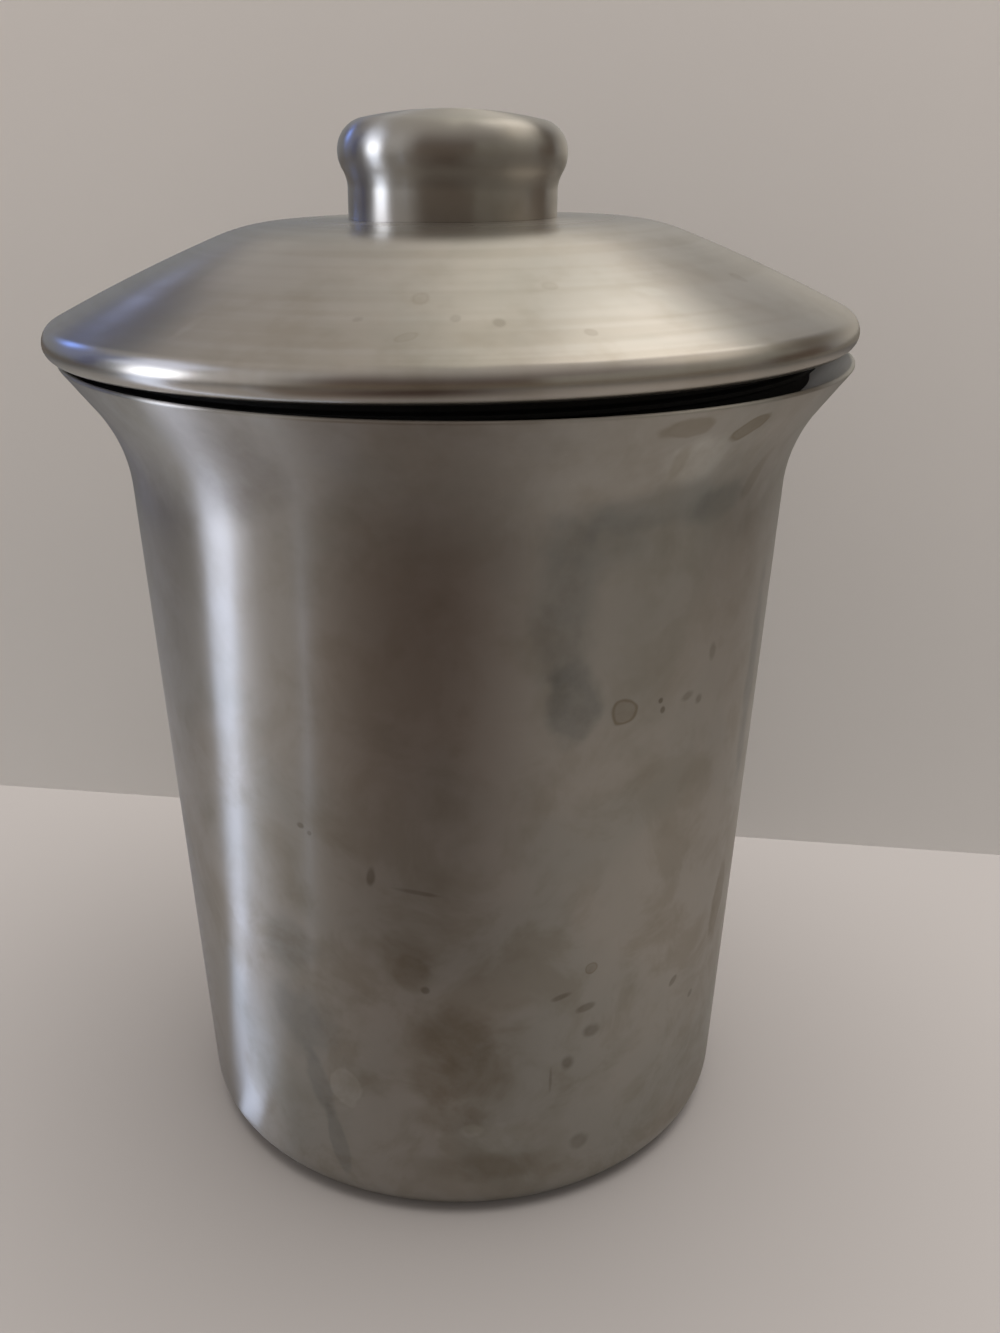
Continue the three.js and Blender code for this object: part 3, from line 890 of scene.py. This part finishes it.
# The room that polished steel shows, as patches: middle bearing, half width, lowest and highest
# rise, softness, all in degrees, then the colour. Bearing 0 is the camera's side and 90 is right.
ROOM = [
    (5.0, 76.0, -90.0, 44.0, 50.0, (0.062, 0.030, 0.018)),
    (12.0, 72.0, -90.0, 12.0, 12.0, (0.17, 0.135, 0.10)),
    (-62.0, 18.0, -90.0, 54.0, 14.0, (0.53, 0.51, 0.50)),
    (68.0, 45.0, 7.0, 33.0, 4.0, (0.286, 0.27, 0.236)),
    (107.0, 15.0, -12.0, 14.0, 5.0, (0.097, 0.067, 0.049)),
    (126.0, 15.0, 12.0, 38.0, 9.0, (0.127, 0.108, 0.087)),
    (150.0, 20.0, -11.0, 15.0, 14.0, (0.444, 0.409, 0.353)),
    (101.0, 24.0, 41.0, 56.0, 17.0, (1.12, 1.03, 0.885)),
    (173.0, 8.0, 23.0, 96.0, 28.0, (1.10, 1.04, 0.90)),
    (145.0, 16.0, 40.0, 69.0, 6.0, (1.67, 1.57, 1.42)),
    (-99.0, 18.0, 17.0, 44.0, 5.0, (0.946, 1.016, 1.232)),
    (-85.0, 9.0, -14.0, 20.0, 6.0, (3.8, 4.0, 4.5)),
    (-114.0, 5.0, -20.0, 33.0, 3.0, (0.09, 0.10, 0.20)),
    (-126.0, 9.0, 3.0, 26.0, 4.0, (0.24, 0.26, 0.38)),
    (-139.0, 3.5, 15.0, 22.0, 3.0, (0.90, 1.50, 4.20)),
    (-151.0, 6.5, 14.0, 34.0, 4.0, (0.10, 0.10, 0.13)),
    (-155.0, 2.0, 18.0, 21.0, 2.0, (0.80, 0.92, 1.50)),
    (-160.0, 4.0, 25.0, 33.0, 4.0, (0.62, 0.58, 0.54)),
]


def room_light():
    """The world: even light for matt surfaces, a pale wall for the camera, the room for steel."""
    world = bpy.data.worlds.new("studio")
    bpy.context.scene.world = world
    world.use_nodes = True
    paint = Paint(world.node_tree)
    x, y, z = paint.parts(paint.place("Generated"))
    degrees = 180 / math.pi
    bearing = x.maths("ARCTAN2", x, -y) * degrees
    rise = z.maths("ARCSINE", z) * degrees
    upward = paint.eased_step(rise, 0.0, 70.0)
    room = paint.mixed(upward, (0.226, 0.229, 0.239), (0.485, 0.449, 0.411))
    for middle, half_width, low, high, soft, colour in ROOM:
        turned_off = bearing.maths("WRAP", bearing - middle, 180.0, -180.0)
        side = turned_off.maths("ABSOLUTE", turned_off)
        across = 1.0 - paint.eased_step(side, half_width - soft, half_width + soft)
        over = paint.eased_step(rise, low - soft, low + soft)
        under = 1.0 - paint.eased_step(rise, high - soft, high + soft)
        room = paint.mixed(across * over * under, room, colour)
    glossy = paint.ray("Is Glossy Ray")
    camera = paint.ray("Is Camera Ray")
    light = paint.mixed(glossy, (0.42, 0.41, 0.40), room)
    light = paint.mixed(camera, light, (0.37, 0.35, 0.335))
    background = paint.node("ShaderNodeBackground", None, {"Color": light, "Strength": 1.0})
    paint.node("ShaderNodeOutputWorld", None, {"Surface": background})


def wall_corners():
    """The wall's corners: it stands on the table's back edge, which runs a little to the front."""
    left, right = Vector((-0.1418, 0.1290, 0)), Vector((0.1500, 0.0797, 0))
    along = (right - left).normalized() * 2.0
    rise = Vector((0, 0, 1.5))
    return [left - along, right + along, right + along + rise, left - along + rise]


def sheet(name, corners):
    """A flat sheet through four corners, in metres, and its empty material."""
    mesh = bpy.data.meshes.new(name)
    mesh.from_pydata(corners, [], [(0, 1, 2, 3)])
    made = bpy.data.objects.new(name, mesh)
    bpy.context.scene.collection.objects.link(made)
    material, paint = new_material(name)
    mesh.materials.append(material)
    return made, paint


def table_top():
    """The table: pale matt paint. Steel sees it with painted shade and with a painted reflection of
    a window, two streaks that glow for glossy rays alone.
    """
    corners = [(-2.5, -2.5, 0), (2.5, -2.5, 0), (2.5, 2.5, 0), (-2.5, 2.5, 0)]
    made, paint = sheet("table", corners)
    place = paint.place()
    x, y, _ = paint.parts(place)
    glossy = paint.ray("Is Glossy Ray")
    cloud = paint.noise(place, 9.0, 3.0)
    pale = (0.485, 0.447, 0.427)
    colour = paint.mixed(cloud, pale, [part * 0.95 for part in pale])
    off_line = (y - x * 0.78) / 1.27
    # Painted reflection: a window's two streaks glow on the table for glossy rays alone.
    painted_window_glow = painted_window_streaks(paint, x, y, off_line) * glossy
    values = {
        # Painted shade: glossy rays see the table dimmer in places.
        "Base Color": paint.mixed(glossy, colour, painted_table_shade_in_steel(paint, x, y, off_line)),
        "Roughness": 0.8,
        "Specular IOR Level": 0.2,
        "Emission Color": paint.mixed(painted_window_glow, (0.0, 0.0, 0.0), (0.82, 0.99, 1.37)),
        "Emission Strength": 1.0,
    }
    principled(paint, values)
    return made


def painted_table_shade_in_steel(paint, x, y, off_line):
    """The table's colour as steel sees it, in metres from the canister's foot.

    It is painted shade: dimmer to the right, far out, behind the can, and most of all in front of
    it, where a painted shadow lies. `off_line` is the distance past the line of the second streak.
    """
    right = paint.eased_step(x, -0.227, 0.33)
    seen = paint.mixed(right, (0.445, 0.425, 0.41), (0.300, 0.272, 0.245))
    behind = paint.eased_step(y, -0.02, 0.06)
    seen = paint.faded(behind * (1.0 - right), seen, (0.83, 0.83, 0.84))
    radius = x.maths("SQRT", x * x + y * y)
    seen = paint.faded(paint.eased_step(radius, 0.095, 0.86), seen, (0.40, 0.42, 0.45))
    beyond = paint.eased_step(radius, 0.11, 0.20)
    inward = paint.eased_step(-off_line, -0.004, 0.05)
    inward = inward * (1.0 - paint.eased_step(x, -0.1, 0.1))
    seen = paint.faded(inward * beyond, seen, (0.70, 0.62, 0.56))
    ahead = y.maths("MAXIMUM", y + 0.35, 0.0) / 0.309
    beside = (x + 0.06) / 0.235
    away = x.maths("SQRT", ahead * ahead + beside * beside)
    # Painted shadow: a dark patch on the table in front of the can.
    in_shade = 1.0 - paint.eased_step(away, 0.1, 1.25)
    seen = paint.mixed(in_shade, seen, (0.046, 0.027, 0.022))
    to_right = paint.eased_step(x, -0.1, 0.5)
    horizon = paint.mixed(to_right, (0.20, 0.165, 0.13), (0.28, 0.255, 0.21))
    return paint.mixed(paint.eased_step(radius, 0.8, 1.15), seen, horizon)


def painted_window_streaks(paint, x, y, off_line):
    """How strongly the painted reflection of the window glows on the table, in two streaks that run
    out to the left.

    The wide one's middle line and half width follow from the distance out, in metres, and it
    brightens far out. The narrow one lies along the line that `off_line` is measured from.
    """
    out = -x
    middle = 0.0163 + (1.0 - paint.eased_step(out, 0.055, 0.10)) * 0.0129
    middle = middle + out.maths("MAXIMUM", out - 0.3, 0.0) * 0.105
    middle = middle + paint.eased_step(out, 0.22, 0.42) * 0.012
    half = 0.0012 + out * (0.058 + paint.eased_step(out, 0.15, 0.36) * 0.03)
    across = x.maths("ABSOLUTE", y + middle) / half
    wide = (1.0 - paint.eased_step(across, 0.45, 1.5)) * paint.eased_step(out, 0.045, 0.055)
    near = 1.0 - paint.eased_step(out, 0.06, 0.11)
    far = paint.eased_step(out, 0.13, 0.36)
    aside = x.maths("ABSOLUTE", off_line + 0.003) / (0.002 + out * 0.018)
    narrow = (1.0 - paint.eased_step(aside, 0.0, 1.4)) * paint.eased_step(out, 0.09, 0.16)
    return wide * (1.0 + near * 0.3 + far * 3.6) + narrow * 0.34


def back_wall():
    """The wall: pale matt paint with painted shade low down, seen by the camera alone, and open
    from behind.
    """
    made, paint = sheet("back_wall", wall_corners())
    place = paint.place()
    height = paint.parts(place)[2]
    cloud = paint.noise(place, 9.0, 3.0)
    # Painted shade: the wall is darker near the table and paler from 0.3 m up.
    upward = paint.eased_step(height, 0.0, 0.3)
    colour = paint.mixed(upward, (0.73, 0.705, 0.68), (0.90, 0.84, 0.795))
    values = {
        "Base Color": paint.faded(cloud, colour, (0.95, 0.95, 0.95)),
        "Roughness": 0.8,
        "Specular IOR Level": 0.2,
        "Alpha": 1.0 - paint.node("ShaderNodeNewGeometry", output="Backfacing"),
    }
    principled(paint, values)
    made.visible_diffuse = False
    made.visible_shadow = False
    made.visible_glossy = False
    return made


def soft_lamp(name, place, target, size, power, colour):
    """A round lamp with soft shadows that looks at a point."""
    data = bpy.data.lights.new(name, "AREA")
    data.shape = "DISK"
    data.size = size
    data.energy = power
    data.color = colour
    lamp = bpy.data.objects.new(name, data)
    lamp.location = place
    aim = Vector(target) - Vector(place)
    lamp.rotation_mode = "QUATERNION"
    lamp.rotation_quaternion = aim.to_track_quat("-Z", "Y")
    lamp.visible_glossy = False
    bpy.context.scene.collection.objects.link(lamp)
    return lamp


# The photograph's camera, from the fit to the can's outlines: metres, radians, and mm of lens.
CAMERA_PLACE = (0, -0.24964, 0.18655)
CAMERA_PITCH = 0.3735
CAMERA_YAW = 0.0306
CAMERA_ROLL = 0.0052
CAMERA_LENS = 36.64


def photo_camera():
    """The camera at the photograph's place: pitched down, with a slight yaw and roll."""
    ahead = Vector(
        (
            math.sin(CAMERA_YAW) * math.cos(CAMERA_PITCH),
            math.cos(CAMERA_YAW) * math.cos(CAMERA_PITCH),
            -math.sin(CAMERA_PITCH),
        )
    )
    level = Vector((math.cos(CAMERA_YAW), -math.sin(CAMERA_YAW), 0))
    upright = level.cross(ahead)
    right = math.cos(CAMERA_ROLL) * level + math.sin(CAMERA_ROLL) * upright
    up = -math.sin(CAMERA_ROLL) * level + math.cos(CAMERA_ROLL) * upright
    data = bpy.data.cameras.new("camera")
    data.lens = CAMERA_LENS
    data.sensor_width = 36.0
    data.clip_start = 0.01
    camera = bpy.data.objects.new("camera", data)
    turned_to = Matrix((right, up, -ahead)).transposed().to_4x4()
    camera.matrix_world = Matrix.Translation(CAMERA_PLACE) @ turned_to
    bpy.context.scene.collection.objects.link(camera)
    bpy.context.scene.camera = camera


# The canister.

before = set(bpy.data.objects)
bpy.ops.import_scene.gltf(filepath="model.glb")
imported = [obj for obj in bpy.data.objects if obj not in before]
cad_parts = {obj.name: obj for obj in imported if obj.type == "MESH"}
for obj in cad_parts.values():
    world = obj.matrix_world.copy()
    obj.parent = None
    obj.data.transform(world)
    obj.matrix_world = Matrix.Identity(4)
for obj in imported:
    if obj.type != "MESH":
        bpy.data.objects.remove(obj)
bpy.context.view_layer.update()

can_steel = satin_steel("canister_steel", STEEL, 0.295, 0.968, CAN_MARKS, around=MARK_CYLINDER)
lid_steel = satin_steel("lid_steel", LID_STEEL, 0.25, 0.66, LID_MARKS, worn=KNOB_SHADOW)
liner_steel = satin_steel("liner_steel", STEEL, 0.30, 0.6)
knob_steel = satin_steel("knob_steel", KNOB_STEEL, 0.29, 0.95)
rubber = seal_rubber()
plated = plated_steel()

on_lid = lid_place()
on_knob_seat = lid_place(KNOB_SHIFT, LID_RISE)
PIECES = [
    ("can", can_profile(), Matrix.Identity(4), can_steel, "canister_body", "canister"),
    ("lid_dome", lid_profile(), on_lid, lid_steel, "lid_shell", "lid"),
    ("lid_pan", liner_profile(), on_lid, liner_steel, "lid_liner", "lid"),
    ("lid_seal", seal_profile(), on_lid, rubber, "seal_ring", "lid"),
    ("lid_knob", knob_profile(), on_knob_seat, knob_steel, "knob_shell", "lid"),
]
for name, profile, place, material, node, body in PIECES:
    lean = KNOB_LEAN_ANGLE if name == "lid_knob" else 0.0
    piece = turned(name, profile, place, lean)
    piece.data.materials.append(material)
    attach(piece, body)
    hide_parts(node)

for node in ("knob_insert", "knob_screw", "knob_washer", "knob_lock_washer"):
    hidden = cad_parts[node]
    hidden.data.materials.clear()
    hidden.data.materials.append(plated)

# The stage.

bpy.context.scene.view_settings.view_transform = "Standard"
room_light()
table_top()
back_wall()
soft_lamp("key_lamp", (0.12, 0.02, 1.2), (0, 0, 0.05), 1.3, 14.0, (1.0, 0.985, 0.96))
photo_camera()
